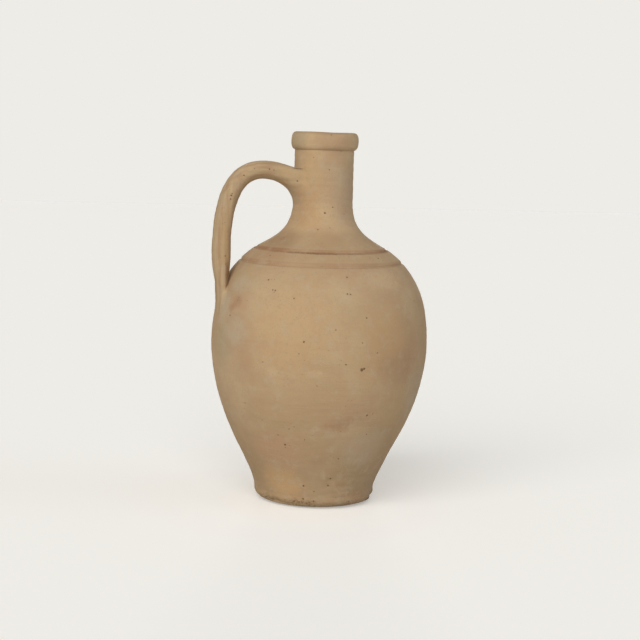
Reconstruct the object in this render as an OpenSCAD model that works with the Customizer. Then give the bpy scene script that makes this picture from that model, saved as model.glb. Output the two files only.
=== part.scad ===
// Terracotta water jar: a wheel-thrown body in sections, a narrow neck with a
// rolled collar, and one pulled handle luted from the neck to the shoulder.
// The origin is the centre of the foot, +Z is up and the handle is on the -X side.

/* [Foot and body] */
// Diameter of the flat foot
foot_d = 133; // [115:1:145]
// Height of the upright foot band
foot_h = 13; // [10:1:18]
// Radius that rounds the foot's lower edge
foot_round = 9.5; // [6:0.5:11]
// Lean of the wall just above the foot, from upright
foot_lean = 6.5; // [0:0.5:15]
// Height of the lower bowl, from the foot band to the widest point
lower_h = 165; // [140:1:190]
// Largest diameter of the body
belly_d = 236; // [220:1:255]
// Height of the upper bowl, from the widest point to the lower groove
upper_h = 83; // [72:1:95]
// Diameter at the lower groove
shoulder_d = 177; // [165:1:185]
// Slope of the wall at the lower groove, from upright
shoulder_slope = 42; // [36:1:48]
// Thickness of the thrown wall
wall_t = 8; // [6:0.5:10]
// Thickness of the floor
floor_t = 10; // [8:0.5:12]

/* [Shoulder coil and grooves] */
// Height between the two grooves
coil_h = 13; // [11:0.5:16]
// Diameter at the upper groove
collar_d = 146; // [138:1:152]
// How far the band between the grooves swells outwards
coil_swell = 0.7; // [0:0.1:1.5]
// Depth of the soft lower groove
lower_groove_depth = 1.1; // [0.5:0.1:1.8]
// Half the width of the soft lower groove
lower_groove_w = 2.8; // [1.8:0.1:3.4]
// Depth of the crisp upper groove
upper_groove_depth = 1.6; // [0.8:0.1:2.2]
// Width of the cove that runs down the neck's foot into the upper groove
upper_groove_w = 4.6; // [3:0.1:6]
// Rounding of the coil's crisp upper edge
coil_edge = 0.8; // [0.4:0.1:1.4]

/* [Neck and rim] */
// Height of the neck, from the upper groove to the tuck below the rim
neck_h = 106.5; // [96:0.5:117]
// Height of the neck's flare above the upper groove
flare_h = 54; // [46:1:60]
// Slope of the flare where it starts, from upright
flare_slope = 60; // [54:1:66]
// Outside diameter of the neck
neck_d = 64.8; // [61:0.2:68]
// Diameter of the straight bore through the neck
mouth_d = 45; // [40:0.5:48]
// Length of the straight bore below the lip
bore_l = 52; // [40:1:56]
// Height of the rolled rim band
rim_h = 19.5; // [17:0.5:23]
// Outside diameter of the rim band
rim_d = 72.6; // [70:0.2:77]
// How far the neck's lip ends below the top of the rim
lip_drop = 8; // [6.5:0.5:10]
// Bevel on the outer edge of the neck's lip
lip_bevel = 3; // [1:0.5:4]

/* [Handle] */
// Width of the handle across the grip
grip_w = 27; // [22:0.5:32]
// Thickness of the handle
grip_t = 19.6; // [16:0.2:22]
// Drop of the handle's highest centre point below the rim's tuck
handle_drop = 22.6; // [19:0.2:27]
// Distance of the highest centre point out from the neck
crest_out = 34.4; // [28:0.2:40]
// Distance of the grip's centre out from the neck
handle_reach = 79; // [72:0.5:84]
// Rise of the upright grip above the lower groove
grip_rise = 11; // [5:1:20]
// Drop of the handle's lower end below the lower groove
handle_foot_drop = 49; // [42:1:56]
// How deep the centre of the lower end sinks below the belly's surface
handle_foot_sink = 5; // [4:0.5:7]
// Drop of the handle's root centre below its highest centre point
root_drop = 8; // [5:0.5:12]
// Extra half-width of the handle where it wraps the neck
root_flare = 5.5; // [2:0.5:7]
// Thickness left at the flattened lower end
foot_t = 7; // [5:0.5:10]
// Length over which the lower end is flattened
taper_l = 52; // [40:1:60]
// Extra half-width of the flattened lower end
foot_flare = 4.5; // [2:0.5:7]

/* [Luting clay] */
// Depth of the wedge that keys one thrown section into the next
key_depth = 3; // [1.5:0.5:4]
// How far the clay under the root runs out along the handle
wad_out = 27; // [20:0.5:29]
// How far the clay under the root runs down the neck
wad_down = 23; // [16:0.5:27]
// How far the clay beside the root runs out along the handle
wad_side_out = 12; // [8:0.5:14]
// How far the clay beside the root runs round the neck
wad_side_round = 9; // [6:0.5:11]
// How far the clay on the lower end runs up the handle
pad_up = 22; // [14:0.5:26]
// How far the clay on the lower end runs down the belly
pad_down = 15; // [10:0.5:20]
// How far the clay beside the lower end runs up the handle
pad_side_up = 9; // [6:0.5:12]
// How far the clay beside the lower end runs round the belly
pad_side_round = 9; // [6:0.5:12]

/* [Hidden] */
$fn = 96;

// Radii, and the height of each joint
foot_r = foot_d / 2;
belly_r = belly_d / 2;
shoulder_r = shoulder_d / 2;
collar_r = collar_d / 2;
neck_r = neck_d / 2;
mouth_r = mouth_d / 2;
rim_r = rim_d / 2;
belly_z = foot_h + lower_h;
lower_groove_z = belly_z + upper_h;
upper_groove_z = lower_groove_z + coil_h;
waist_z = upper_groove_z + flare_h;
tuck_z = upper_groove_z + neck_h;
top_z = tuck_z + rim_h;
lip_z = top_z - lip_drop;
bore_z = lip_z - bore_l;

// Fullness of each curve, as the pull of its ends over the height it climbs
foot_pull = 0.18;
belly_pull_low = 0.5;
belly_pull_high = 0.48;
shoulder_pull = 0.305;
flare_pull = 0.51;
waist_pull = 0.63;

// Cubic curves, their direction of travel, and the side that faces outwards
function curve_at(p, t) = let (s = 1 - t)
    s * s * s * p[0] + 3 * s * s * t * p[1] + 3 * s * t * t * p[2] + t * t * t * p[3];
function travel_at(p, t) = let (s = 1 - t,
    v = s * s * (p[1] - p[0]) + 2 * s * t * (p[2] - p[1]) + t * t * (p[3] - p[2]))
    v / norm(v);
function outward(dir) = [dir.y, -dir.x];
function inset_at(p, t, depth) = curve_at(p, t) - depth * outward(travel_at(p, t));
function curve_points(p, n, from = 0, to = 1) =
    [for (i = [0:n]) curve_at(p, from + (to - from) * i / n)];
function inset_points(p, n, depth) = [for (i = [0:n]) inset_at(p, i / n, depth)];
function reversed(list) = [for (i = [len(list) - 1:-1:0]) list[i]];
function without_first(list) = [for (i = [1:len(list) - 1]) list[i]];
function leaning(angle) = [sin(angle), cos(angle)];
function smooth(t) = let (c = min(1, max(0, t))) c * c * (3 - 2 * c);

// Outer curves of the wall, each from its lower end to its upper end
foot_top = [foot_r, foot_h];
lower_curve = [foot_top, foot_top + foot_pull * lower_h * leaning(foot_lean),
               [belly_r, belly_z - belly_pull_low * lower_h], [belly_r, belly_z]];
shoulder_dir = leaning(-shoulder_slope);
shoulder_point = [shoulder_r, lower_groove_z];
upper_curve = [[belly_r, belly_z], [belly_r, belly_z + belly_pull_high * upper_h],
               shoulder_point - shoulder_pull * upper_h * shoulder_dir, shoulder_point];
collar_point = [collar_r, upper_groove_z];
coil_step = collar_point - shoulder_point;
coil_dir = coil_step / norm(coil_step);
coil_curve = [shoulder_point, shoulder_point + coil_step / 3 + coil_swell * outward(coil_dir),
              collar_point - coil_step / 3 + coil_swell * outward(coil_dir), collar_point];
flare_dir = leaning(-flare_slope);
flare_curve = [collar_point, collar_point + flare_pull * flare_h * flare_dir,
               [neck_r, waist_z - waist_pull * flare_h], [neck_r, waist_z]];

// Inner ends of the joints: the wall's thickness in from the outer curves
floor_corner = foot_top - wall_t * outward(leaning(foot_lean));
belly_inner = [belly_r - wall_t, belly_z];
shoulder_inner = shoulder_point - wall_t * outward(shoulder_dir);
collar_inner = collar_point - wall_t * outward(flare_dir);
bore_start = [mouth_r, bore_z];
throat_curve = [collar_inner, collar_inner + flare_pull * flare_h * flare_dir,
                [mouth_r, bore_z - waist_pull * flare_h], bore_start];

// Grooves: the two joints of the shoulder coil reach the surface at their roots
lower_groove_root = shoulder_point - lower_groove_depth * outward(shoulder_dir);
upper_groove_root = collar_point - upper_groove_depth * outward(flare_dir);
groove_steps = 4;
groove_pull = 0.45;
function eased_points(a, b, dir_a, dir_b) = let (reach = groove_pull * norm(b - a))
    curve_points([a, a + reach * dir_a, b - reach * dir_b, b], groove_steps);
function share_at_end(p, length) = length / (3 * norm(p[3] - p[2]));
function share_at_start(p, length) = length / (3 * norm(p[1] - p[0]));

// A joint between two sections: the upper one ends in a wedge, the lower one is grooved for it
key_land = 0.28;
function key(outer, inner) = let (across = inner - outer, up = outward(across) / norm(across))
    [outer + key_land * across, outer + across / 2 - key_depth * up, inner - key_land * across];
foot_key = key(foot_top, floor_corner);
belly_key = key([belly_r, belly_z], belly_inner);
shoulder_key = key(lower_groove_root, shoulder_inner);
collar_key = key(upper_groove_root, collar_inner);
lip_seat = [[neck_r, lip_z - lip_bevel], [neck_r - lip_bevel, lip_z]];

// One thrown section, from its outer wall, its inner wall and its two joints
module thrown(outer_wall, inner_wall, lower_key, upper_key)
    rotate_extrude()
        polygon(concat(outer_wall, upper_key, reversed(inner_wall), reversed(lower_key)));

// Flat slab that closes the jar, with a rounded edge and a grooved ring for the wall
cove_w = 11;
module base_disc() {
    heel = [for (a = [-90:15:0]) [foot_r - foot_round + foot_round * cos(a),
                                  foot_round + foot_round * sin(a)]];
    cove = [floor_corner, floor_corner - (floor_corner.y - floor_t) * leaning(foot_lean) / 2,
            [floor_corner.x - cove_w / 2, floor_t], [floor_corner.x - cove_w, floor_t]];
    color("#b48d63")
        rotate_extrude()
            polygon(concat([[0, 0]], heel, [foot_top], foot_key, curve_points(cove, 5),
                           [[0, floor_t]]));
}

// Thrown bowl from the foot band to the widest point
module lower_body()
    color("#bd9a70")
        thrown(curve_points(lower_curve, 16), inset_points(lower_curve, 16, wall_t),
               foot_key, belly_key);

// Thrown bowl turned in from the widest point to the lower groove
upper_bowl_end = 1 - share_at_end(upper_curve, lower_groove_w);
upper_bowl_wall = concat(curve_points(upper_curve, 12, 0, upper_bowl_end),
    without_first(eased_points(curve_at(upper_curve, upper_bowl_end), lower_groove_root,
                               shoulder_dir, shoulder_dir)));
module upper_body()
    color("#c3a077")
        thrown(upper_bowl_wall, inset_points(upper_curve, 12, wall_t), belly_key, shoulder_key);

// Coil that carries the neck, with a groove along each edge
coil_from = share_at_start(coil_curve, lower_groove_w);
coil_to = 1 - share_at_end(coil_curve, coil_edge);
coil_wall = concat(
    eased_points(lower_groove_root, curve_at(coil_curve, coil_from), coil_dir, coil_dir),
    without_first(curve_points(coil_curve, 4, coil_from, coil_to)),
    without_first(eased_points(curve_at(coil_curve, coil_to), upper_groove_root,
                               coil_dir, -outward(flare_dir))));
module shoulder_coil()
    color("#bd966c")
        thrown(coil_wall, [shoulder_inner, collar_inner], shoulder_key, collar_key);

// Neck thrown with a straight bore; its foot runs down in a cove to the upper groove
flare_from = share_at_start(flare_curve, upper_groove_w);
neck_wall = concat(
    eased_points(upper_groove_root, curve_at(flare_curve, flare_from), flare_dir, flare_dir),
    without_first(curve_points(flare_curve, 14, flare_from, 1)));
module neck()
    color("#c0996f")
        rotate_extrude()
            polygon(concat(neck_wall, lip_seat, [[mouth_r, lip_z]],
                           reversed(curve_points(throat_curve, 12)), reversed(collar_key)));

// Coil rolled over the neck's lip, bulging outwards above a crisp tuck. Its curves are shares of
// its height, of its overhang past the neck and of the width of its crown.
overhang = rim_r - neck_r;
crown_w = rim_r - mouth_r;
bulge_share = 0.45;
crown_share = 0.42;
under_out = 0.75;
under_rise = 0.06;
bulge_pull_down = 0.25;
bulge_pull_up = 0.34;
crown_pull_out = 0.33;
crown_pull_in = 0.33;
mouth_pull = 0.75;
bulge = [rim_r, tuck_z + bulge_share * rim_h];
crown = [rim_r - crown_share * crown_w, top_z];
rim_under = [[neck_r, tuck_z], [neck_r + under_out * overhang, tuck_z + under_rise * rim_h],
             bulge - [0, bulge_pull_down * rim_h], bulge];
rim_over = [bulge, bulge + [0, bulge_pull_up * rim_h], crown + [crown_pull_out * crown_w, 0],
            crown];
rim_mouth = [crown, crown - [crown_pull_in * crown_w, 0],
             [mouth_r, lip_z + mouth_pull * lip_drop], [mouth_r, lip_z]];
module rim_band()
    color("#c19a70")
        rotate_extrude()
            polygon(concat(curve_points(rim_under, 6), without_first(curve_points(rim_over, 6)),
                           without_first(curve_points(rim_mouth, 6)), reversed(lip_seat)));

// The whole outside of the jar, which the handle and its clay are fitted against
fitting_sides = 480;
jar_wall = concat([[foot_r, 0]], curve_points(lower_curve, 16), without_first(upper_bowl_wall),
                  without_first(coil_wall), without_first(neck_wall), [[neck_r, tuck_z]]);
module jar_outside()
    rotate_extrude($fn = fitting_sides)
        polygon(concat([[0, 0]], jar_wall, [[0, tuck_z]]));
function jar_r(z) = lookup(z, [for (p = jar_wall) [p.y, p.x]]);

// Centre line of the handle, as distance out from the axis and height
crest = [neck_r + crest_out, tuck_z - handle_drop];
side = [neck_r + handle_reach, lower_groove_z + grip_rise];
handle_foot_z = lower_groove_z - handle_foot_drop;
handle_foot = [jar_r(handle_foot_z) - handle_foot_sink, handle_foot_z];
root_bury = 8;
root = [neck_r - root_bury, crest.y - root_drop];
root_pull = 0.34;
crest_pull = 0.48;
bend_pull_out = 0.645;
bend_pull_up = 0.705;
root_line = [root, root + [root_pull * crest_out, 0], crest - [crest_pull * crest_out, 0], crest];
bend_line = [crest, crest + [bend_pull_out * (side.x - crest.x), 0],
             side + [0, bend_pull_up * (crest.y - side.y)], side];
drop_line = [side, side - [0, (side.y - handle_foot.y) / 3],
             handle_foot + [0, (side.y - handle_foot.y) / 3], handle_foot];
line_steps = [10, 18, 14];

// Cross-section of the pulled handle: a full oval, squarer and wider at the root and flattened
// at the lower end. Angle 0 is on the outside of the bend.
oval_sides = 24;
oval_fullness = 0.82;
root_fullness = 0.5;
function full(x, fullness) = sign(x) * pow(abs(x), fullness);
function at_root(t) = 1 - smooth(t);
function at_foot(z) = smooth(1 - (z - handle_foot.y) / taper_l);
function handle_skin(line, t, near, far, a) = let (
    centre = curve_at(line, t), out = outward(-travel_at(line, t)),
    half_w = grip_w / 2 + root_flare * near + foot_flare * far,
    half_t = grip_t / 2 + (foot_t - grip_t) / 2 * far,
    fullness = oval_fullness + (root_fullness - oval_fullness) * near,
    proud = half_t * full(cos(a), fullness))
    [-centre.x - proud * out.x, half_w * full(sin(a), fullness), centre.y + proud * out.y];
function root_skin(t, a) = handle_skin(root_line, t, at_root(t), 0, a);
function foot_skin(t, a) = handle_skin(drop_line, t, 0, at_foot(curve_at(drop_line, t).y), a);

// A closed skin of triangles over rings of points. Each end is a fan from the ring's last
// point but one, which sees all the others.
module lofted(rings) {
    n = len(rings[0]);
    m = len(rings);
    sides = [for (j = [0:m - 2], i = [0:n - 1]) let (p = j * n + i, q = j * n + (i + 1) % n)
        each [[p, p + n, q + n], [p, q + n, q]]];
    hub = n - 2;
    ends = [for (k = [1:n - 2]) let (p = (hub + k) % n, q = (hub + k + 1) % n, far = (m - 1) * n)
        each [[hub, p, q], [far + hub, far + q, far + p]]];
    polyhedron([for (ring = rings) each ring], concat(sides, ends), convexity = 6);
}
oval_angles = [for (i = [0:oval_sides - 1]) 360 * i / oval_sides];
module handle_sweep()
    lofted(concat(
        [for (i = [0:line_steps[0] - 1]) [for (a = oval_angles) root_skin(i / line_steps[0], a)]],
        [for (i = [0:line_steps[1] - 1]) [for (a = oval_angles)
            handle_skin(bend_line, i / line_steps[1], 0, 0, a)]],
        [for (i = [0:line_steps[2]]) [for (a = oval_angles) foot_skin(i / line_steps[2], a)]]));
module handle()
    color("#c19d74")
        difference() {
            handle_sweep();
            jar_outside();
        }

// Clay smeared into the corner between the handle and the wall, along their seam. Each section
// of it is a curved face that leaves the handle flush and lands flush on the wall, with its
// back sunk into both. Places on the wall are given as the angle round the jar, the height and
// the distance off the wall.
function unit(v) = v / norm(v);
function to_wall(p) = [(atan2(p.y, p.x) + 360) % 360, p.z, norm([p.x, p.y]) - jar_r(p.z)];
function from_wall(q) = let (r = jar_r(q.y) + q.z) [r * cos(q.x), r * sin(q.x), q.y];
function seam_skin(foot, t, a) = foot ? foot_skin(t, a) : root_skin(t, a);
function length_of(line) = let (p = curve_points(line, 12))
    [for (i = [1:12]) norm(p[i] - p[i - 1])] * [for (i = [1:12]) 1];

// Where a line along the handle's skin comes out of the wall, found by halving
halvings = 16;
function meeting(foot, a, buried, clear, tries) = tries == 0 ? clear :
    let (t = (buried + clear) / 2)
    to_wall(seam_skin(foot, t, a)).z < 0 ? meeting(foot, a, t, clear, tries - 1)
                                         : meeting(foot, a, buried, t, tries - 1);

// How far round the handle each seam goes, how fine it is cut up, how far its edges and its
// back are sunk, the share of its length over which it fades out, and what is left at its ends
root_turn = 220;
foot_turn = 290;
seam_sections = 36;
face_steps = 8;
seam_edge = 0.45;
seam_sink = 2.5;
sink_least = 0.3;
seam_fade = 0.22;
least_clay = 0.12;
wad_runs = [wad_side_out, wad_out, wad_side_round, wad_down];
pad_runs = [pad_side_up, pad_up, pad_side_round, pad_down];
function seam_ring(foot, v) = let (
    way = foot ? -1 : 1,
    line = foot ? drop_line : root_line,
    runs = foot ? pad_runs : wad_runs,
    a = (foot ? foot_turn : root_turn) * (v - 0.5) + (foot ? 0 : 180),
    most = pow(max(0, -way * cos(a)), 2),
    fade = least_clay + (1 - least_clay) * smooth(min(v, 1 - v) / seam_fade),
    along = fade * (runs[0] + (runs[1] - runs[0]) * most),
    over = fade * (runs[2] + (runs[3] - runs[2]) * most),
    t = meeting(foot, a, foot ? 1 : 0, foot ? 0 : 1, halvings),
    start_t = t + way * along / length_of(line),
    corner = seam_skin(foot, t, a),
    edge = seam_skin(foot, start_t, a),
    heart = curve_at(line, t),
    core = curve_at(line, start_t),
    corner_in = unit([-heart.x, 0, heart.y] - corner),
    edge_in = unit([-core.x, 0, core.y] - edge),
    sink = seam_sink * (sink_least + (1 - sink_least) * fade),
    bend = to_wall(corner),
    start = to_wall(edge + seam_edge * edge_in),
    land = [bend.x - over * sin(a) / jar_r(bend.y) * 180 / PI,
            bend.y + way * over * cos(a), -seam_edge],
    under = [0, 0, -sink])
    concat([for (i = [0:face_steps]) let (s = i / face_steps)
                from_wall((1 - s) * (1 - s) * start + 2 * s * (1 - s) * bend + s * s * land)],
           [from_wall(land + under), from_wall(bend + under) + sink * corner_in,
            edge + sink * edge_in]);
module seam(foot)
    difference() {
        lofted([for (i = [0:seam_sections]) seam_ring(foot, i / seam_sections)]);
        jar_outside();
        handle_sweep();
    }

// Clay pressed up under the handle's root and smeared out beside it on the neck
module handle_root_wad()
    color("#b98f66") seam(false);

// Clay smeared over the handle's lower end and beside it on the belly
module handle_end_pad()
    color("#b78b63") seam(true);

base_disc();
lower_body();
upper_body();
shoulder_coil();
neck();
rim_band();
handle();
handle_root_wad();
handle_end_pad();
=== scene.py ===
"""Terracotta water jar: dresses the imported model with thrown, luted and fired clay."""

import functools
import math

import bpy
import numpy as np
from mathutils import Matrix, Vector


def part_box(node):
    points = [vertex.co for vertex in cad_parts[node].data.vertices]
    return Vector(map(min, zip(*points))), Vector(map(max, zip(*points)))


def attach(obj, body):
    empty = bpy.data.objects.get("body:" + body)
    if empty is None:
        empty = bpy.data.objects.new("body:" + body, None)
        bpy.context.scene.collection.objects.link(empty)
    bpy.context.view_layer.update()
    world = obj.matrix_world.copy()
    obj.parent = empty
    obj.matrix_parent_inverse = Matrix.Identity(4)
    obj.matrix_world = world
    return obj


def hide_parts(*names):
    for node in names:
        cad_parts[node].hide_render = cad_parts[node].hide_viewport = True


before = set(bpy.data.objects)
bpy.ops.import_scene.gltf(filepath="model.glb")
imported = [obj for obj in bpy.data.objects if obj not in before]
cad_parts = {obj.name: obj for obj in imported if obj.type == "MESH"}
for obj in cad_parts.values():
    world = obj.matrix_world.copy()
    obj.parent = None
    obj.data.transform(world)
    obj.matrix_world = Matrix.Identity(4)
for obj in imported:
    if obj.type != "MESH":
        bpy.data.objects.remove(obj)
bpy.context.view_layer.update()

bl_info = {
    "name": "Terracotta water jar",
    "version": (1, 0, 0),
    "blender": (4, 5, 0),
    "location": "View3D > Sidebar > Jar",
    "description": "Models an unglazed water jar over its packed solids, piece by piece",
    "category": "Add Mesh",
}

MM = 0.001

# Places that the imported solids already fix, in metres
FOOT_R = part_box("base_disc")[1][0]
BELLY_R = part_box("lower_body")[1][0]
BELLY_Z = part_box("lower_body")[1][2]
TUCK_Z, TOP_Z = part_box("rim_band")[0][2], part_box("rim_band")[1][2]
RIM_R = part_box("rim_band")[1][0]

# Leans of the wall from upright, in degrees: above the foot, under the coil and at the flare
FOOT_LEAN, SHOULDER_LEAN, FLARE_LEAN = 6.5, 42, 60

# Grooves: depth at the root, and how far the wall is eased on each side of it
LOW_GROOVE, LOW_EASE = 1.1 * MM, 2.8 * MM
HIGH_GROOVE, COIL_EASE, COVE_EASE = 1.6 * MM, 0.8 * MM, 4.6 * MM
COIL_SWELL = 0.7 * MM
LIP_BEVEL = 3 * MM

# Foot: worn round of its edge, width and height, and the reach of the cove on the floor inside
HEEL_W, HEEL_H = 19 * MM, 10 * MM
FLOOR_COVE = 11 * MM

# Handle: its crest off the neck and under the rim's tuck, the reach and rise of the grip, then
# how deep the centre of each end lies in the wall, how far it drops and how far it spreads on
# each side. The lower end thins to END_T over the height TAPER, and the skin goes no deeper
# into the wall than KEY_DEPTH.
CREST_OUT, CREST_DROP = 34.4 * MM, 22.6 * MM
GRIP_REACH, GRIP_RISE = 79 * MM, 11 * MM
ROOT_SINK, ROOT_DROP, ROOT_SPREAD = 8 * MM, 8 * MM, 5.5 * MM
END_SINK, END_DROP, END_SPREAD = 5 * MM, 49 * MM, 4.5 * MM
END_T, TAPER = 7 * MM, 52 * MM
KEY_DEPTH = 6 * MM

# Steps along and round the handle, and round its luting clay
GRIP_ROWS, GRIP_SIDES, SEAM_COLUMNS = 240, 96, 180


def length_of(name, description, default):
    return bpy.props.FloatProperty(
        name=name, description=description, default=default, subtype="DISTANCE")


def colour_of(name, description, *rgb):
    return bpy.props.FloatVectorProperty(
        name=name, description=description, size=4, subtype="COLOR", default=(*rgb, 1))


class JarSizes(bpy.types.PropertyGroup):
    """Sizes of the clay that the solids don't give as a box"""

    foot_h: length_of("Foot band", "Height of the upright band at the foot", 13 * MM)
    wall: length_of("Wall", "Thickness of the thrown wall", 8 * MM)
    floor: length_of("Floor", "Thickness of the floor", 10 * MM)
    groove_z: length_of("Lower groove", "Height of the soft lower groove", 261 * MM)
    groove_r: length_of("Lower groove radius", "Radius of the wall at the lower groove", 88.5 * MM)
    coil_h: length_of("Coil height", "Height of the band between the grooves", 13 * MM)
    collar_r: length_of("Upper groove radius", "Radius of the wall at the upper groove", 73 * MM)
    flare_h: length_of("Flare", "Height of the neck's flare", 54 * MM)
    neck_r: length_of("Neck radius", "Outside radius of the neck", 32.4 * MM)
    mouth_r: length_of("Bore radius", "Radius of the bore through the neck", 22.5 * MM)
    lip_z: length_of("Lip", "Height of the neck's lip inside the rim", 392 * MM)
    bore_l: length_of("Bore length", "Length of the straight bore", 52 * MM)
    grip_w: length_of("Grip width", "Width of the handle", 27 * MM)
    grip_t: length_of("Grip thickness", "Thickness of the handle", 19.6 * MM)
    sides: bpy.props.IntProperty(
        name="Sides", description="Steps round the thrown pieces", default=420, min=96)


class JarClay(bpy.types.PropertyGroup):
    """Colours of the fired clay"""

    buff: colour_of("Buff", "Main colour of the clay", 0.485, 0.326, 0.177)
    pale: colour_of("Pale", "Pale bloom where water has dried", 0.54, 0.382, 0.219)
    rose: colour_of("Rose", "Pink flush from the kiln", 0.455, 0.28, 0.158)
    gold: colour_of("Gold", "Warm yellow patches", 0.505, 0.32, 0.153)
    olive: colour_of("Olive", "Grey-green smoke patches", 0.37, 0.292, 0.175)
    ash: colour_of("Ash", "Cool pale bloom", 0.47, 0.365, 0.245)
    slip: colour_of("Slip", "Reddish clay in the grooves and finger marks", 0.34, 0.185, 0.095)
    # Pit is also the colour of the painted shade under the upper groove, in the creases at the
    # handle's ends, over the rim's top and at the far right edge
    pit_and_shade: colour_of("Pit", "Inside of a pinhole", 0.2, 0.115, 0.055)
    chalk: colour_of("Chalk", "Pale specks", 0.62, 0.48, 0.31)


# Curves of the wall, as cubic spans of (radius, height)

def on_curve(p, t):
    s = 1 - t
    return s ** 3 * p[0] + 3 * s * s * t * p[1] + 3 * s * t * t * p[2] + t ** 3 * p[3]


def travel(p, t):
    s = 1 - t
    return (s * s * (p[1] - p[0]) + 2 * s * t * (p[2] - p[1]) + t * t * (p[3] - p[2])).normalized()


def outward(direction):
    return Vector((direction.y, -direction.x))


def leaning(degrees):
    return Vector((math.sin(math.radians(degrees)), math.cos(math.radians(degrees))))


def span(p, step, start=0.0, end=1.0):
    """Points along a cubic about step metres apart"""
    def at(i, count):
        return on_curve(p, start + (end - start) * i / count)

    length = sum((at(i + 1, 16) - at(i, 16)).length for i in range(16))
    count = max(2, round(length / step))
    return [at(i, count) for i in range(count + 1)]


def inset(p, count, depth):
    return [on_curve(p, i / count) - depth * outward(travel(p, i / count))
            for i in range(count + 1)]


def eased(a, b, dir_a, dir_b, count=8):
    reach = 0.45 * (b - a).length
    p = [a, a + reach * dir_a, b - reach * dir_b, b]
    return [on_curve(p, i / count) for i in range(count + 1)]


def wedge(outer, inner, depth=3 * MM, land=0.28):
    """Joint face between two thrown sections, from the outside in"""
    across = inner - outer
    up = outward(across).normalized()
    return [outer + land * across, outer + across / 2 - depth * up, inner - land * across]


class Wall:
    """Curves of the whole jar, worked out once from the sizes"""

    def __init__(self, s):
        v = Vector
        self.foot = v((FOOT_R, s.foot_h))
        self.belly = v((BELLY_R, BELLY_Z))
        low_h = BELLY_Z - s.foot_h
        up_h = s.groove_z - BELLY_Z
        self.lower = [self.foot, self.foot + 0.18 * low_h * leaning(FOOT_LEAN),
                      self.belly - v((0, 0.5 * low_h)), self.belly]
        self.shoulder_dir = leaning(-SHOULDER_LEAN)
        self.shoulder = v((s.groove_r, s.groove_z))
        self.upper = [self.belly, self.belly + v((0, 0.48 * up_h)),
                      self.shoulder - 0.305 * up_h * self.shoulder_dir, self.shoulder]
        self.collar = v((s.collar_r, s.groove_z + s.coil_h))
        step = self.collar - self.shoulder
        self.coil_dir = step.normalized()
        swell = COIL_SWELL * outward(self.coil_dir)
        self.coil = [self.shoulder, self.shoulder + step / 3 + swell,
                     self.collar - step / 3 + swell, self.collar]
        self.flare_dir = leaning(-FLARE_LEAN)
        waist = v((s.neck_r, self.collar.y + s.flare_h))
        self.flare = [self.collar, self.collar + 0.51 * s.flare_h * self.flare_dir,
                      waist - v((0, 0.63 * s.flare_h)), waist]
        self.floor_corner = self.foot - s.wall * outward(leaning(FOOT_LEAN))
        self.belly_in = self.belly - v((s.wall, 0))
        self.shoulder_in = self.shoulder - s.wall * outward(self.shoulder_dir)
        self.collar_in = self.collar - s.wall * outward(self.flare_dir)
        bore = v((s.mouth_r, s.lip_z - s.bore_l))
        self.throat = [self.collar_in, self.collar_in + 0.51 * s.flare_h * self.flare_dir,
                       bore - v((0, 0.63 * s.flare_h)), bore]
        self.low_root = self.shoulder - LOW_GROOVE * outward(self.shoulder_dir)
        self.high_root = self.collar - HIGH_GROOVE * outward(self.flare_dir)
        self.lip_seat = [v((s.neck_r, s.lip_z - LIP_BEVEL)), v((s.neck_r - LIP_BEVEL, s.lip_z))]
        self.bore_top = v((s.mouth_r, s.lip_z))
        self.tuck = v((s.neck_r, TUCK_Z))
        self.step = 1.2 * MM
        self.build_outline()

    def build_outline(self):
        """Outer wall of each section, and the whole outline as radius over height"""
        end = 1 - LOW_EASE / (3 * (self.upper[3] - self.upper[2]).length)
        self.upper_wall = span(self.upper, self.step, 0, end) + eased(
            on_curve(self.upper, end), self.low_root, self.shoulder_dir, self.shoulder_dir)[1:]
        start = LOW_EASE / (3 * (self.coil[1] - self.coil[0]).length)
        end = 1 - COIL_EASE / (3 * (self.coil[3] - self.coil[2]).length)
        self.coil_wall = (
            eased(self.low_root, on_curve(self.coil, start), self.coil_dir, self.coil_dir)
            + span(self.coil, self.step, start, end)[1:]
            + eased(on_curve(self.coil, end), self.high_root, self.coil_dir,
                    -outward(self.flare_dir), 5)[1:])
        start = COVE_EASE / (3 * (self.flare[1] - self.flare[0]).length)
        neck_up = [self.flare[3], self.flare[3] + Vector((0, 10 * MM)),
                   self.tuck - Vector((0, 10 * MM)), self.tuck]
        self.neck_wall = (
            eased(self.high_root, on_curve(self.flare, start), self.flare_dir, self.flare_dir)
            + span(self.flare, self.step, start, 1)[1:] + span(neck_up, self.step)[1:])
        self.lower_wall = span(self.lower, self.step)
        outline = self.lower_wall + self.upper_wall[1:] + self.coil_wall[1:] + self.neck_wall[1:]
        self.heights = np.maximum.accumulate([p.y for p in outline])
        self.radii = np.array([p.x for p in outline])

    def r(self, z):
        return np.interp(z, self.heights, self.radii)


# Marks of the hand: one field over the whole jar, so that neighbours still meet after it

class Waves:
    """A smooth random field: sines along seeded directions"""

    def __init__(self, seed, wavelength, count=18):
        rng = np.random.default_rng(seed)
        direction = rng.normal(size=(count, 3))
        direction /= np.linalg.norm(direction, axis=1)[:, None]
        self.k = direction * (2 * math.pi / (wavelength * rng.uniform(0.6, 1.6, (count, 1))))
        self.phase = rng.uniform(0, 2 * math.pi, count)
        self.gain = math.sqrt(2 / count)

    def at(self, p):
        return self.gain * np.sin(p @ self.k.T + self.phase).sum(1)


LUMPS = Waves(3, 90 * MM)
DIMPLES = Waves(5, 26 * MM)
RIPPLES = Waves(8, 9 * MM)
CRUMBS = Waves(21, 3.6 * MM)
RING_JITTER = Waves(13, 70 * MM)


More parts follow.
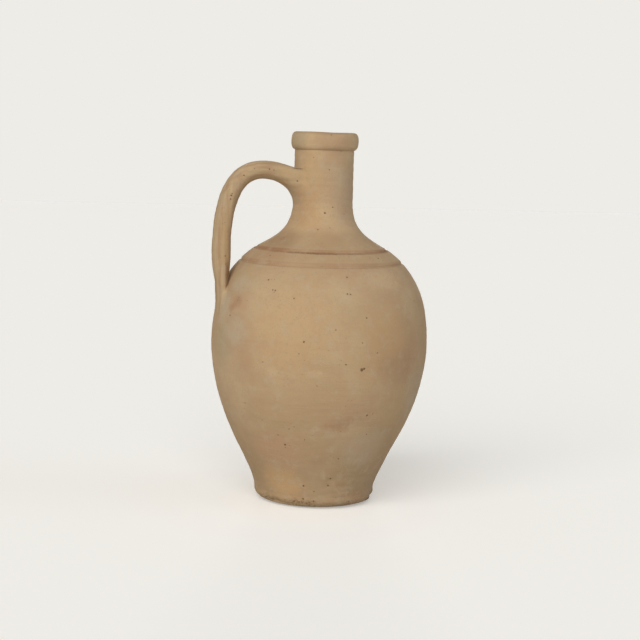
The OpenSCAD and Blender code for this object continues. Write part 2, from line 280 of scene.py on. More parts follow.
# Depth of the marks on the outside, which lies a little under the skin of the solids, so that
# no mark stands out of them, and of those that the knuckles left inside
UNDER = 0.25 * MM
LUMP, DIMPLE, RIM_DIMPLE = 0.28 * MM, 0.09 * MM, 0.22 * MM
WIDE_RIDGE, FINE_RIDGE = 0.05 * MM, 0.02 * MM
GRAIN, CHIP = 0.2 * MM, 0.8 * MM
INNER_RIDGE, INNER_DIMPLE = 0.35 * MM, 0.2 * MM
RIM_WARP = 0.35 * MM

# Dents left by fingertips and knocks: place, radius and depth in millimetres
DENTS = {
    "thumb": (-102.7, -44.3, 220.5, 6.5, 0.8), "thumb_end": (-106.9, -39.2, 214.1, 4, 0.6),
    "foot_high": (-2, -73.1, 33, 3.5, 0.6), "foot_low": (-3.8, -70.6, 27.1, 3.2, 0.6),
    "wipe": (-31.7, -111.6, 153.1, 7, 0.35), "wipe_left": (-73, -90.7, 152.5, 7, 0.3),
    "knock": (15, -104, 112, 8, 0.3), "heel_nick": (52, -42, 4, 3.5, 1.2),
    "shoulder": (-49, -18.7, 286.1, 4, 0.4), "behind_handle": (-110, 29, 203, 18, 2.2),
    "low_right": (75, -20, 62, 26, 1.8), "foot_right": (64, -17, 22, 20, 1.8),
    "heel_right": (57, -32, 3, 12, 3.4), "heel_left": (-54, -35, 3, 12, 2.8),
}

# Torn, gritty patches of the heel: place and half-sizes in millimetres
TORN = {
    "left": ((-31, -57, 5), (24, 14, 7)), "right": ((27, -62, 4), (14, 8, 4)),
    "far_right": ((58, -33, 8), (10, 16, 8)), "far_left": ((-60, -26, 6), (10, 16, 6)),
}


def throwing_rings(p, angle):
    """Fine helical ridges left by the fingers as the wheel turned"""
    climb = p[:, 2] + 4 * MM * angle / (2 * math.pi)
    wobble = RING_JITTER.at(p)
    wide = np.sin(2 * math.pi * climb / (8.5 * MM) + 1.5 * wobble)
    fine = np.sin(2 * math.pi * climb / (2.9 * MM) + 2.1 * wobble)
    return wide, fine


def outside_marks(p, rim, wide, fine):
    """How far each point of the outside moves off the axis"""
    z = p[:, 2]
    neck = np.clip((z - 270 * MM) / (50 * MM), 0, 1)
    foot = np.clip(1 - z / (12 * MM), 0, 1)
    move = LUMP * LUMPS.at(p) + DIMPLE * DIMPLES.at(p) - UNDER
    move += (WIDE_RIDGE * (1 + neck) * wide + FINE_RIDGE * fine) * (1 - rim)
    move += rim * RIM_DIMPLE * DIMPLES.at(p * 0.8)
    torn = sum(np.exp(-(((p / MM - place) / half) ** 2).sum(1)) for place, half in TORN.values())
    chips = np.clip(RIPPLES.at(p) + 0.4 * CRUMBS.at(p) - 0.3, 0, 1.4)
    move += (foot + 1.2 * np.minimum(torn, 1)) * (GRAIN * CRUMBS.at(p) - CHIP * chips)
    for x, y, height, radius, depth in DENTS.values():
        away = np.linalg.norm(p - np.array((x, y, height)) * MM, axis=1) / (radius * MM)
        move -= depth * MM * np.exp(-away * away)
    return move


def hand_marks(obj, wall, inner=None):
    """Moves every vertex by the field of marks; inner says which vertices face the inside"""
    mesh = obj.data
    p = np.empty(len(mesh.vertices) * 3)
    mesh.vertices.foreach_get("co", p)
    p = p.reshape(-1, 3)
    z = p[:, 2]
    r = np.hypot(p[:, 0], p[:, 1])
    angle = np.arctan2(p[:, 1], p[:, 0])
    wide, fine = throwing_rings(p, angle)
    rim = np.clip((z - TUCK_Z) / (6 * MM), 0, 1)
    inside = r < wall.r(z) - 4 * MM if inner is None else inner
    knuckles = INNER_RIDGE * wide + INNER_DIMPLE * DIMPLES.at(p)
    move = np.where(inside, knuckles, outside_marks(p, rim, wide, fine))
    off_axis = np.clip((r - 6 * MM) / (20 * MM), 0, 1)
    unit = p[:, :2] / np.maximum(r, 1e-6)[:, None]
    p[:, :2] += unit * (move * off_axis)[:, None]
    p[:, 2] += rim * RIM_WARP * (np.sin(2 * angle + 1) * 0.6 + np.sin(5 * angle) * 0.25 - 0.85)
    mesh.vertices.foreach_set("co", p.ravel())
    mesh.update()


# Ways of making a piece

SAME_PLACE = 1e-6


def deselect():
    for obj in bpy.context.selected_objects:
        obj.select_set(False)


def edit(obj):
    deselect()
    bpy.context.view_layer.objects.active = obj
    obj.select_set(True)
    bpy.ops.object.mode_set(mode="EDIT")
    bpy.ops.mesh.select_mode(type="VERT")
    bpy.ops.mesh.select_all(action="SELECT")


def close_up(obj, smooth_angle=40):
    """Merges seams and poles, turns the faces outwards and smooths all but sharp corners"""
    bpy.ops.mesh.remove_doubles(threshold=SAME_PLACE)
    bpy.ops.mesh.normals_make_consistent(inside=False)
    bpy.ops.object.mode_set(mode="OBJECT")
    bpy.ops.object.shade_smooth_by_angle(angle=math.radians(smooth_angle))


def turned(name, profile, sides):
    """A closed outline of (radius, height) spun about the jar's axis"""
    deselect()
    bpy.ops.mesh.primitive_circle_add(vertices=len(profile), radius=10 * MM)
    obj = bpy.context.active_object
    obj.name = name
    for vertex, point in zip(obj.data.vertices, profile):
        vertex.co = (point.x, 0, point.y)
    bpy.ops.object.modifier_add(type="SCREW")
    screw = obj.modifiers[-1]
    screw.steps = screw.render_steps = sides
    bpy.ops.object.modifier_apply(modifier=screw.name)
    edit(obj)
    close_up(obj)
    return obj


def wrapped(name, rows, columns, place):
    """A grid bent into a closed skin: place gives the point at each row and column"""
    deselect()
    bpy.ops.mesh.primitive_grid_add(x_subdivisions=rows, y_subdivisions=columns, size=2)
    obj = bpy.context.active_object
    obj.name = name
    for vertex in obj.data.vertices:
        u, v = (vertex.co.x + 1) / 2, (vertex.co.y + 1) / 2
        vertex.co = place(u, v)
    edit(obj)
    bpy.ops.mesh.remove_doubles(threshold=SAME_PLACE)
    bpy.ops.mesh.fill_holes(sides=0)
    close_up(obj)
    return obj


def belongs(obj, nodes, material):
    """Ties a finished piece to the solids that it stands for"""
    obj.data.materials.clear()
    obj.data.materials.append(material)
    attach(obj, "root")
    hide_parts(*nodes)


# The clay, as one node-based finish whose patterns run on through every piece

class Nodes:
    """Short ways to add and join shader nodes"""

    def __init__(self, material):
        material.use_nodes = True
        self.tree = material.node_tree
        self.shader = self.tree.nodes["Principled BSDF"]
        self.place = self.tree.nodes.new("ShaderNodeTexCoord").outputs["Object"]

    def link(self, a, b):
        self.tree.links.new(a, b)

    def add(self, kind, **values):
        node = self.tree.nodes.new(kind)
        for key, value in values.items():
            if key in node.inputs:
                node.inputs[key].default_value = value
            else:
                setattr(node, key, value)
        return node

    def stretched(self, scale):
        node = self.add("ShaderNodeMapping")
        node.inputs["Scale"].default_value = scale
        self.link(self.place, node.inputs["Vector"])
        return node.outputs["Vector"]

    def noise(self, scale, detail=3.0, rough=0.5, vector=None, distort=0.0):
        node = self.add("ShaderNodeTexNoise", Scale=scale, Detail=detail, Roughness=rough,
                        Distortion=distort)
        self.link(vector or self.place, node.inputs["Vector"])
        return node.outputs["Fac"]

    def cells(self, scale):
        node = self.add("ShaderNodeTexVoronoi", Scale=scale)
        self.link(self.place, node.inputs["Vector"])
        return node.outputs["Distance"]

    def ranged(self, value, low, high, to_low=0.0, to_high=1.0):
        node = self.add("ShaderNodeMapRange")
        for key, number in (("From Min", low), ("From Max", high), ("To Min", to_low),
                            ("To Max", to_high)):
            node.inputs[key].default_value = number
        node.interpolation_type = "SMOOTHSTEP"
        self.link(value, node.inputs["Value"])
        return node.outputs["Result"]

    def math(self, operation, a, b):
        node = self.add("ShaderNodeMath", operation=operation)
        for socket, value in zip(node.inputs, (a, b)):
            if isinstance(value, (int, float)):
                socket.default_value = value
            else:
                self.link(value, socket)
        return node.outputs[0]

    def chain(self, operation, values):
        """Joins all the values by one operation"""
        return functools.reduce(lambda a, b: self.math(operation, a, b), values)

    def mix(self, factor, a, b):
        node = self.add("ShaderNodeMix", data_type="RGBA")
        self.link(factor, node.inputs["Factor"])
        for key, value in (("A", a), ("B", b)):
            socket = [s for s in node.inputs if s.name == key and s.type == "RGBA"][0]
            if isinstance(value, bpy.types.NodeSocket):
                self.link(value, socket)
            else:
                socket.default_value = value
        return [s for s in node.outputs if s.type == "RGBA"][0]

    def wash(self, colour, pattern, low, high, strength, tint):
        """Lays a tint over the colour where the pattern rises from low to high"""
        share = self.math("MULTIPLY", self.ranged(pattern, low, high), strength)
        return self.mix(share, colour, tint)

    def axes(self):
        node = self.add("ShaderNodeSeparateXYZ")
        self.link(self.place, node.inputs[0])
        return node.outputs


# Pinholes and burnt-out grains: place and radius in millimetres, under the slot that has them
PITS = {
    "neck_clay": {
        "by_root": (-33.8, -18.4, 346.9, 0.8), "by_root_pale": (-25.1, -20.9, 349.5, 0.4),
        "upper": (-2.5, -32.1, 360.1, 0.6), "middle_soft": (2.4, -32.1, 320.4, 0.7),
        "middle": (-6.3, -32.6, 314.1, 1.1), "flare": (-14.6, -37.6, 297.0, 0.7),
        "top": (-18.8, -26.3, 372.5, 0.3), "right": (16.0, -28.7, 313.4, 0.4),
        "low": (-14.2, -54.2, 283.7, 0.5), "rim": (-2.2, -34.5, 396.8, 0.6),
        "tuck": (9.9, -30.6, 379.7, 0.7), "flare_right": (-1.8, -38.9, 298.7, 0.5),
    },
    "body_clay": {
        "coil_left": (-67.3, -42.9, 269.0, 0.7), "coil_right": (44.7, -66.4, 268.9, 0.9),
        "belly_1": (-74.0, -68.4, 245.7, 0.8), "belly_2": (-71.5, -78.1, 236.0, 0.8),
        "belly_3": (-69.3, -80.2, 235.6, 0.9), "belly_4": (-70.7, -80.2, 233.8, 0.5),
        "belly_5": (-53.0, -95.1, 228.9, 0.7), "belly_6": (2.3, -96.4, 251.4, 0.9),
        "belly_7": (0.5, -106.4, 235.0, 0.9), "belly_8": (3.9, -106.5, 234.6, 0.9),
        "belly_9": (20.2, -112.6, 211.0, 0.8), "belly_10": (-13.3, -115.7, 198.9, 0.6),
        "belly_11": (-44.7, -108.5, 185.7, 1.0), "grain": (15.9, -115.9, 157.6, 1.9),
        "grain_tail": (18.4, -115.7, 158.7, 1.4), "belly_12": (15.5, -116.4, 185.6, 0.6),
        "belly_13": (32.7, -113.1, 174.8, 0.8), "belly_14": (-49.0, -106.8, 173.2, 0.6),
        "belly_15": (-81.5, -84.4, 162.0, 0.6), "belly_16": (-1.7, -117.3, 163.4, 0.7),
        "belly_17": (-30.3, -110.2, 140.5, 0.6), "low_1": (26.8, -103.2, 107.9, 1.1),
        "low_2": (33.1, -101.8, 109.2, 0.6), "low_3": (-53.2, -75.5, 73.3, 1.2),
        "low_4": (-52.3, -74.2, 69.9, 0.6), "low_5": (-61.1, -75.5, 83.8, 0.8),
        "low_6": (-47.6, -89.5, 94.5, 0.6), "low_7": (29.9, -93.4, 86.0, 0.6),
        "low_8": (2.5, -85.6, 59.3, 0.7), "low_9": (-35.8, -88.8, 80.5, 0.6),
        "foot_1": (-2.4, -74.3, 35.4, 1.2), "foot_2": (-28.7, -63.0, 26.1, 1.2),
        "foot_3": (-3.8, -70.6, 27.1, 1.3), "foot_4": (-17.6, -65.4, 20.4, 0.8),
        "low_10": (-76.9, -68.2, 98.6, 0.8), "low_11": (-92.8, -55.7, 114.7, 0.6),
        "by_handle": (-108.1, -41.0, 205.6, 1.0), "low_12": (-52.0, -85.8, 91.8, 0.6),
        "heel_1": (-44.7, -48.1, 7.5, 1.2), "heel_2": (-36.4, -54.4, 7.1, 1.5),
        "heel_3": (-31.7, -57.7, 7.1, 1.1), "heel_4": (-27.9, -59.6, 11.3, 1.2),
        "heel_5": (-21.8, -62.0, 7.3, 1.2), "heel_6": (-17.3, -63.6, 9.4, 1.0),
        "heel_7": (22.0, -63.4, 7.5, 1.2), "side": (84.0, -71.6, 224.6, 0.6),
    },
    "handle_clay": {
        "bend_1": (-104.0, -13.9, 330.0, 1.0), "bend_2": (-104.6, -13.7, 326.3, 0.8),
        "bend_3": (-103.2, -13.9, 332.2, 0.7), "top_1": (-79.7, -12.9, 359.0, 0.7),
        "top_2": (-63.4, -13.3, 358.7, 0.8), "top_3": (-58.7, -14.0, 358.0, 0.5),
        "turn": (-90.9, -13.4, 351.4, 0.8), "drop_1": (-108.8, -13.6, 265.8, 0.8),
        "drop_2": (-108.0, -13.4, 257.3, 0.6), "root": (-33.8, -18.4, 346.9, 0.8),
    },
}

# Stains, and painted shade under the upper groove, in the creases at the handle's ends, over the
# rim's top and at the far right edge: place and half-sizes in millimetres, then colour and strength
STAINS_AND_SHADE = {
    "gold_belly": ((-57.7, -100.9, 197), (60, 45, 50), "gold", 0.5),
    "gold_foot": ((-50, -50, 28), (28, 26, 20), "gold", 0.75),
    "olive_left": ((-113, -30, 172), (14, 22, 26), "olive", 0.5),
    "brown_left": ((-97, -62, 147), (20, 24, 17), "slip", 0.2),
    "pink_left": ((-100, -48, 222), (20, 22, 13), "rose", 0.6),
    "pale_left": ((-97, -38, 238), (18, 18, 11), "ash", 0.6),
    "pink_low": ((-61, -64.2, 65.7), (36, 30, 24), "rose", 0.7),
    "brown_right": ((56, -103, 180), (42, 30, 42), "slip", 0.3),
    "amber_right": ((46, -107, 192), (36, 24, 34), "gold", 0.5),
    "brown_low_right": ((58, -100, 155), (30, 26, 24), "slip", 0.28),
    "ash_low_right": ((28, -84, 72), (30, 24, 30), "ash", 0.5),
    "ash_neck_right": ((17, -29, 333), (18, 16, 34), "ash", 0.5),
    "rose_neck_right": ((18, -28, 328), (16, 14, 30), "rose", 0.4),
    "gold_neck_low": ((-22, -28, 308), (18, 16, 15), "gold", 0.6),
    # painted shade along the far right edge of the belly
    "shade_far_right": ((92, -50, 115), (16, 24, 26), "pit_and_shade", 0.12),
    "ash_left": ((-104, -50, 190), (18, 22, 16), "ash", 0.7),
    "ash_by_pad": ((-112, -28, 214), (10, 14, 22), "ash", 0.7),
    "handle_bend": ((-101, -10, 346), (18, 14, 30), "slip", 0.14),
    "pale_right": ((42, -88, 248), (36, 24, 12), "pale", 0.7),
    # darkens the left of the flare
    "flare_left": ((-50, -24, 285), (22, 26, 14), "pit_and_shade", 0.15),
    "neck_left": ((-27, -20, 322), (14, 14, 28), "slip", 0.24),
    "rim_front": ((-4, -34, 392), (26, 14, 12), "slip", 0.2),
    "rim_left": ((-33, -14, 391), (12, 16, 14), "olive", 0.55),
    "gold_neck": ((-22, -24, 350), (15, 14, 42), "gold", 0.5),
    "groove_left": ((-58, -48, 268), (34, 30, 9), "slip", 0.28),
    "ash_far_right": ((88, -62, 130), (22, 30, 34), "ash", 0.6),
    "gold_root": ((-46, -18, 351), (12, 16, 12), "gold", 0.45),
    "gold_grip": ((-106, -10, 285), (8, 16, 50), "gold", 0.5),
    "foot_right": ((34, -64, 14), (26, 24, 10), "slip", 0.3),
    "foot_left": ((-38, -62, 11), (22, 24, 10), "slip", 0.25),
    # painted shade over the top of the rim
    "rim_top_shade": ((-5, -10, 401.5), (80, 80, 5), "pit_and_shade", 0.3),
    "groove_shadow": ((-26, -70, 273.6), (72, 40, 1.15), "pit_and_shade", 1.0),
    # painted shade in the crease between the handle's lower end and the wall
    "shade_by_handle_end": ((-106.8, -12, 247), (2.6, 8, 14), "pit_and_shade", 0.75),
    "wipe": ((-31.7, -111.6, 153), (11, 9, 5), "pale", 0.6),
    "wipe_left": ((-73, -90.7, 152.5), (9, 8, 6), "pale", 0.5),
    "wipe_neck": ((-5, -32.2, 317.4), (9, 8, 11), "pale", 0.6),
    "thumb": ((-102.7, -44.3, 220.5), (9, 9, 8), "slip", 0.45),
    "thumb_end": ((-106.9, -39.2, 214), (4.5, 6, 6), "slip", 0.5),
    "flush": ((-3, -102, 97), (17, 14, 8), "slip", 0.55),
    "flush_end": ((10.4, -104.2, 103.6), (10, 9, 5), "slip", 0.25),
    "smudge": ((-49, -18.7, 286), (5.5, 4.5, 1.8), "slip", 0.5),
    # painted shadow where the handle's root meets the neck
    "shade_by_handle_root": ((-32, -14.4, 360), (6, 8, 0.7), "pit_and_shade", 0.85),
    "foot_patch": ((12, -69, 27), (9, 7, 5), "slip", 0.25),
}

# Bands round the wall: low and high edge and softness in millimetres, then colour and strength; the
# first two lie in the grooves, the third darkens the flare above the upper groove
GROOVE_BANDS = ((259.6, 264.4, 0.8, "slip", 0.5), (273.3, 276.9, 0.7, "slip", 0.95),
                (277, 293, 6, "pit_and_shade", 0.3))

# How much darker the body's clay is than the neck's, at the foot and higher up, how high the
# darkening reaches, and how ragged its edge is
FOOT_DARKENING, BODY_DARKENING = 0.24, 0.07
DARKENING_TOP, DARKENING_EDGE = 150 * MM, 60 * MM

# Faint ring that a wet vessel left on the neck: place and half-sizes in millimetres, strength
RING_MARK = ((-4, -31, 316), (11, 14, 14.5), 0.3)

# Extra flush and smoke that a clay took in the kiln
KILN = {"handle_clay": (-0.2, 0.14)}


def nearest_pit(n, pits):
    """Distance from the edge of the nearest named pit, roughened by noise"""
    edges = []
    for x, y, z, radius in pits.values():
        away = n.add("ShaderNodeVectorMath", operation="DISTANCE")
        n.link(n.place, away.inputs[0])
        away.inputs[1].default_value = (x * MM, y * MM, z * MM)
        edges.append(n.math("SUBTRACT", away.outputs["Value"], 0.85 * radius * MM))
    rough = n.math("MULTIPLY", n.math("SUBTRACT", n.noise(900, 2), 0.5), 1.6 * MM)
    return n.math("ADD", n.chain("MINIMUM", edges), rough)


def distance_in(n, place, half):
    """Distance from a place, where 1 is the surface of an ellipsoid with these half-sizes"""
    shift = n.add("ShaderNodeVectorMath", operation="SUBTRACT")
    n.link(n.place, shift.inputs[0])
    shift.inputs[1].default_value = [c * MM for c in place]
    scaled = n.add("ShaderNodeVectorMath", operation="DIVIDE")
    n.link(shift.outputs[0], scaled.inputs[0])
    scaled.inputs[1].default_value = [c * MM for c in half]
    length = n.add("ShaderNodeVectorMath", operation="LENGTH")
    n.link(scaled.outputs[0], length.inputs[0])
    return length.outputs["Value"]


def soft_patch(n, place, half, edge):
    """Soft patch: 1 at its centre, fading to 0 at a ragged edge"""
    return n.ranged(n.math("ADD", distance_in(n, place, half), edge), 0.35, 1.25, 1.0, 0.0)


def ring_mark(n, place, half, strength):
    """Thin line on the surface of an ellipsoid"""
    edge = n.math("ABSOLUTE", n.math("SUBTRACT", distance_in(n, place, half), 1.0), 0.0)
    return n.ranged(edge, 0.02, 0.09, strength, 0.0)


def pulled_streaks(n):
    """Streaks along the handle: upright on the grip, level over the bend"""
    upright = n.noise(1.0, 3, 0.55, n.stretched((200, 200, 12)))
    level = n.noise(1.0, 3, 0.55, n.stretched((12, 200, 200)))
    share = n.ranged(n.axes()["Z"], 335 * MM, 356 * MM)
    node = n.add("ShaderNodeMix")
    n.link(share, node.inputs["Factor"])
    n.link(upright, node.inputs["A"])
    n.link(level, node.inputs["B"])
    return node.outputs["Result"]


def groove_band(n, low, high, soft):
    """Band of height, with soft edges"""
    z = n.axes()["Z"]
    return n.math("MULTIPLY", n.ranged(z, low - soft, low + soft),
                  n.ranged(z, high - soft, high + soft, 1.0, 0.0))


def mottled(n, clay, wiped, flush, smoke):
    """Colour of the clay as it left the kiln, under the streaks of the wiping hand"""
    colour = n.mix(n.ranged(n.noise(9, 4, 0.55), 0.38, 0.64), clay.buff, clay.pale)
    rose = n.noise(14, 4, 0.55, distort=0.5)
    colour = n.wash(colour, rose, 0.47, 0.72, 0.65 + flush, clay.rose)
    gold = n.noise(8, 2, 0.5, n.stretched((1, 1, 0.6)))
    colour = n.wash(colour, gold, 0.5, 0.72, 0.6, clay.gold)
    colour = n.wash(colour, n.noise(6.5, 3, 0.5), 0.5 - smoke, 0.76, 0.6, clay.olive)
    return n.wash(colour, wiped, 0.45, 0.72, 0.22, clay.pale)


def tints_and_shade(n, colour, clay, name, ragged):
    """Darker towards the foot, stains and painted shade, then slip in the grooves and a darker band
    over the flare
    """
    if name == "body_clay":
        # the body's clay is darker towards the foot
        height = n.math("ADD", n.axes()["Z"], n.math("MULTIPLY", ragged, DARKENING_EDGE))
        darkening = n.ranged(height, 0, DARKENING_TOP, FOOT_DARKENING, BODY_DARKENING)
        colour = n.mix(darkening, colour, (0, 0, 0, 1))
    for place, half, tint, strength in STAINS_AND_SHADE.values():
        patch = n.math("MULTIPLY", soft_patch(n, place, half, ragged), strength)
        colour = n.mix(patch, colour, getattr(clay, tint))
    if name == "handle_clay":
        return colour
    worn = n.ranged(n.noise(11, 2, 0.5), 0.4, 0.56, 0.45, 1.0)
    for low, high, soft, tint, strength in GROOVE_BANDS:
        band = n.math("MULTIPLY", groove_band(n, low * MM, high * MM, soft * MM), strength)
        colour = n.mix(n.math("MULTIPLY", band, worn), colour, getattr(clay, tint))
    return colour


def gritty(n, colour, clay):
    """Small blotches, bloom and grit"""
    colour = n.wash(colour, n.noise(52, 4, 0.65), 0.46, 0.66, 0.34, clay.rose)
    colour = n.wash(colour, n.noise(85, 4, 0.65, distort=0.4), 0.5, 0.7, 0.38, clay.ash)
    return n.wash(colour, n.noise(430, 2, 0.6), 0.54, 0.72, 0.46, clay.olive)


def streaked(n, colour, clay, pulled):
    """Dark and pale streaks on the handle, fading out towards the neck"""
    away = n.ranged(n.axes()["X"], -66 * MM, -46 * MM, 1.0, 0.0)
    dark = n.math("MULTIPLY", n.ranged(pulled, 0.5, 0.66, 0.0, 0.5), away)
    light = n.math("MULTIPLY", n.ranged(pulled, 0.34, 0.48, 0.6, 0.0), away)
    return n.mix(light, n.mix(dark, colour, clay.slip), clay.pale)


def pinholes(n, name, ragged):
    """1 in pinholes, specks, named pits and the torn grain of the heel"""
    sparse = n.ranged(n.noise(38, 1, 0.5), 0.6, 0.66)
    crowded = n.ranged(n.noise(24, 2, 0.5), 0.5, 0.6)
    holes = [n.math("MULTIPLY", n.ranged(n.cells(120), 0.07, 0.03, 0.0, 0.8), sparse),
             n.math("MULTIPLY", n.ranged(n.cells(230), 0.05, 0.1, 0.75, 0.0), crowded),
             n.ranged(nearest_pit(n, PITS[name]), -0.4 * MM, 0.35 * MM, 1.0, 0.0)]
    if name == "body_clay":
        torn = n.chain("MAXIMUM", [soft_patch(n, *patch, ragged) for patch in TORN.values()])
        grains = n.ranged(n.noise(520, 3, 0.7), 0.53, 0.64)
        holes.append(n.math("MULTIPLY", torn, grains))
    return n.chain("MAXIMUM", holes)


def rough_skin(n, relief):
    """Adds up patterns, each with its depth, as a bump"""
    height = n.chain("ADD", [n.math("MULTIPLY", pattern, depth) for pattern, depth in relief])
    bump = n.add("ShaderNodeBump", Strength=1.0, Distance=1.0)
    n.link(height, bump.inputs["Height"])
    n.link(bump.outputs["Normal"], n.shader.inputs["Normal"])


def fired_clay(name, clay):
    """Unglazed clay: mottled buff, kiln flush, smoke, wiping streaks, grit, pinholes and painted
    shade in the grooves and creases
    """
    material = bpy.data.materials.new("fired_" + name)
    n = Nodes(material)
    wiped = n.noise(3.0, 4, 0.6, n.stretched((9, 9, 190)))
    ragged = n.math("SUBTRACT", n.noise(75, 3, 0.6), 0.5)
    holes = pinholes(n, name, ragged)
    relief = [(n.noise(340, 4, 0.65), 0.15 * MM), (wiped, 0.16 * MM),
              (n.noise(70, 3, 0.55), 0.28 * MM), (holes, -0.5 * MM)]
    colour = mottled(n, clay, wiped, *KILN.get(name, (0.0, 0.0)))
    colour = gritty(n, tints_and_shade(n, colour, clay, name, ragged), clay)
    if name == "neck_clay":
        colour = n.mix(ring_mark(n, *RING_MARK), colour, clay.pale)
    if name == "handle_clay":
        pulled = pulled_streaks(n)
        relief.append((pulled, 0.35 * MM))
        colour = streaked(n, colour, clay, pulled)
    specks = n.math("MULTIPLY", n.ranged(n.noise(610, 2, 0.6), 0.6, 0.74),
                    n.ranged(n.noise(31, 2, 0.5), 0.45, 0.7, 0.05, 0.4))
    colour = n.mix(holes, n.mix(specks, colour, clay.chalk), clay.pit_and_shade)
    dust = n.ranged(n.noise(60, 3, 0.6), 0.3, 0.7, 0.8, 0.93)
    n.link(colour, n.shader.inputs["Base Color"])
    n.link(dust, n.shader.inputs["Roughness"])
    n.shader.inputs["Specular IOR Level"].default_value = 0.22
    rough_skin(n, relief)
    return material


def clay_of(name):
    return bpy.data.materials.get("fired_" + name) or fired_clay(name, bpy.context.scene.jar_clay)


# The thrown pieces

def base_outline(w, s):
    corner = [Vector((FOOT_R - HEEL_W + HEEL_W * math.cos(a), HEEL_H + HEEL_H * math.sin(a)))
              for a in (math.radians(-90 + 6 * i) for i in range(16))]
    flat = [Vector((FOOT_R - HEEL_W, 0)) * (i / 24) for i in range(24)]
    side = [corner[-1].lerp(w.foot, i / 5) for i in range(1, 6)]
    lean = leaning(FOOT_LEAN)
    flat_r = w.floor_corner.x - FLOOR_COVE
    cove = [w.floor_corner, w.floor_corner - (w.floor_corner.y - s.floor) / 2 * lean,
            Vector((flat_r + FLOOR_COVE / 2, s.floor)), Vector((flat_r, s.floor))]
    floor = [Vector((flat_r * (1 - i / 12), s.floor)) for i in range(1, 13)]
    return flat + corner + side + wedge(w.foot, w.floor_corner) + span(cove, 2 * MM) + floor


def section_outline(outer, inner):
    """Outline of a thrown section: up the outside, over the joint, down inside and back"""
    return (outer + wedge(outer[-1], inner[-1]) + inner[::-1]
            + wedge(outer[0], inner[0])[::-1])


def rim_outline(w, s):
    v = Vector
    height = TOP_Z - TUCK_Z
    swell = RIM_R - s.neck_r
    lip = RIM_R - s.mouth_r
    middle = TUCK_Z + 0.45 * height
    crown = v((RIM_R - 0.42 * lip, TOP_Z))
    under = [w.tuck, v((s.neck_r + 0.75 * swell, TUCK_Z + 0.06 * height)),
             v((RIM_R, middle - 0.25 * height)), v((RIM_R, middle))]
    over = [under[3], v((RIM_R, middle + 0.34 * height)), v((crown.x + 0.33 * lip, TOP_Z)), crown]
    mouth = [crown, v((s.mouth_r + 0.25 * lip, TOP_Z)),
             v((s.mouth_r, s.lip_z + 0.75 * (TOP_Z - s.lip_z))), w.bore_top]
    step = 0.9 * MM
    seat = [w.lip_seat[1], w.lip_seat[0]]
    return span(under, step) + span(over, step)[1:] + span(mouth, step)[1:] + seat


def neck_outline(w, s):
    inner = span(w.throat, 3 * MM)
    bore = [inner[-1].lerp(w.bore_top, i / 14) for i in range(1, 15)]
    return (w.neck_wall + w.lip_seat + (inner + bore)[::-1]
            + wedge(w.neck_wall[0], inner[0])[::-1])


THROWN = {
    "base_disc": base_outline,
    "lower_body": lambda w, s: section_outline(
        w.lower_wall, inset(w.lower, 40, s.wall)),
    "upper_body": lambda w, s: section_outline(
        w.upper_wall, inset(w.upper, 26, s.wall)),
    "shoulder_coil": lambda w, s: section_outline(
        w.coil_wall, [w.shoulder_in.lerp(w.collar_in, i / 6) for i in range(7)]),
    "neck": neck_outline,
    "rim_band": rim_outline,
}
SLOTS = {"neck": "neck_clay", "rim_band": "neck_clay"}


# The handle and the clay that lutes it on

def smooth(t):
    t = min(1.0, max(0.0, t))
    return t * t * (3 - 2 * t)


class Grip:
    """Centre line of the handle and its changing section, on the -X side of the jar"""

    def __init__(self, w, s):
        v = Vector
        self.wall, self.sizes = w, s
        crest = v((s.neck_r + CREST_OUT, TUCK_Z - CREST_DROP))
        side = v((s.neck_r + GRIP_REACH, s.groove_z + GRIP_RISE))
        self.foot_z = s.groove_z - END_DROP
        root = v((s.neck_r - ROOT_SINK, crest.y - ROOT_DROP))
        foot = v((w.r(self.foot_z) - END_SINK, self.foot_z))
        fall = v((0, (side.y - foot.y) / 3))
        lines = [
            [root, root + v((0.34 * CREST_OUT, 0)), crest - v((0.48 * CREST_OUT, 0)), crest],
            [crest, crest + v((0.645 * (side.x - crest.x), 0)),
             side + v((0, 0.705 * (crest.y - side.y))), side],
            [side, side - fall, foot + fall, foot]]
        points = [on_curve(p, i / 60) for p in lines for i in range(60)] + [foot]
        steps = [(b - a).length for a, b in zip(points, points[1:])]
        self.along = np.concatenate([[0], np.cumsum(steps)])
        self.reach = np.array([p.x for p in points])
        self.climb = np.array([p.y for p in points])
        self.length = self.along[-1]
        self.root_length = self.along[60]

    def centre(self, d):
        return Vector((np.interp(d, self.along, self.reach), np.interp(d, self.along, self.climb)))

    def section(self, d):
        """Half-width, half-thickness and fullness at a distance along the handle"""
        s = self.sizes
        near = 1 - smooth(d / self.root_length)
        far = smooth(1 - (self.centre(d).y - self.foot_z) / TAPER) * (d > self.length / 2)
        pulled = 0.25 * MM * math.sin(d / (11 * MM)) + 0.2 * MM * math.sin(d / (4.7 * MM) + 1)
        half_w = s.grip_w / 2 + ROOT_SPREAD * near + END_SPREAD * far + pulled
        half_t = s.grip_t / 2 + (END_T - s.grip_t) / 2 * far + 0.4 * pulled * (1 - far)
        return half_w, half_t, 0.94 - 0.44 * near

    def surface(self, d, angle):
        """Point of the handle's skin: angle 0 is the outer side"""
        here = self.centre(d)
        ahead = (self.centre(d + 0.5 * MM) - self.centre(d - 0.5 * MM)).normalized()
        out = Vector((-ahead.y, ahead.x))
        half_w, half_t, full = self.section(d)
        across, proud = (math.copysign(abs(f) ** full, f) for f in (math.sin(angle), math.cos(angle)))
        return Vector((-(here.x + proud * half_t * out.x), across * half_w,
                       here.y + proud * half_t * out.y))

    def place(self, u, v):
        """Point of the skin, held back from going deeper into the wall than its key"""
        point = self.surface(u * self.length, 2 * math.pi * v)
        deep = self.wall.r(point.z) - KEY_DEPTH
        r = math.hypot(point.x, point.y)
        if r < deep:
            point.x *= deep / r
            point.y *= deep / r
        return point


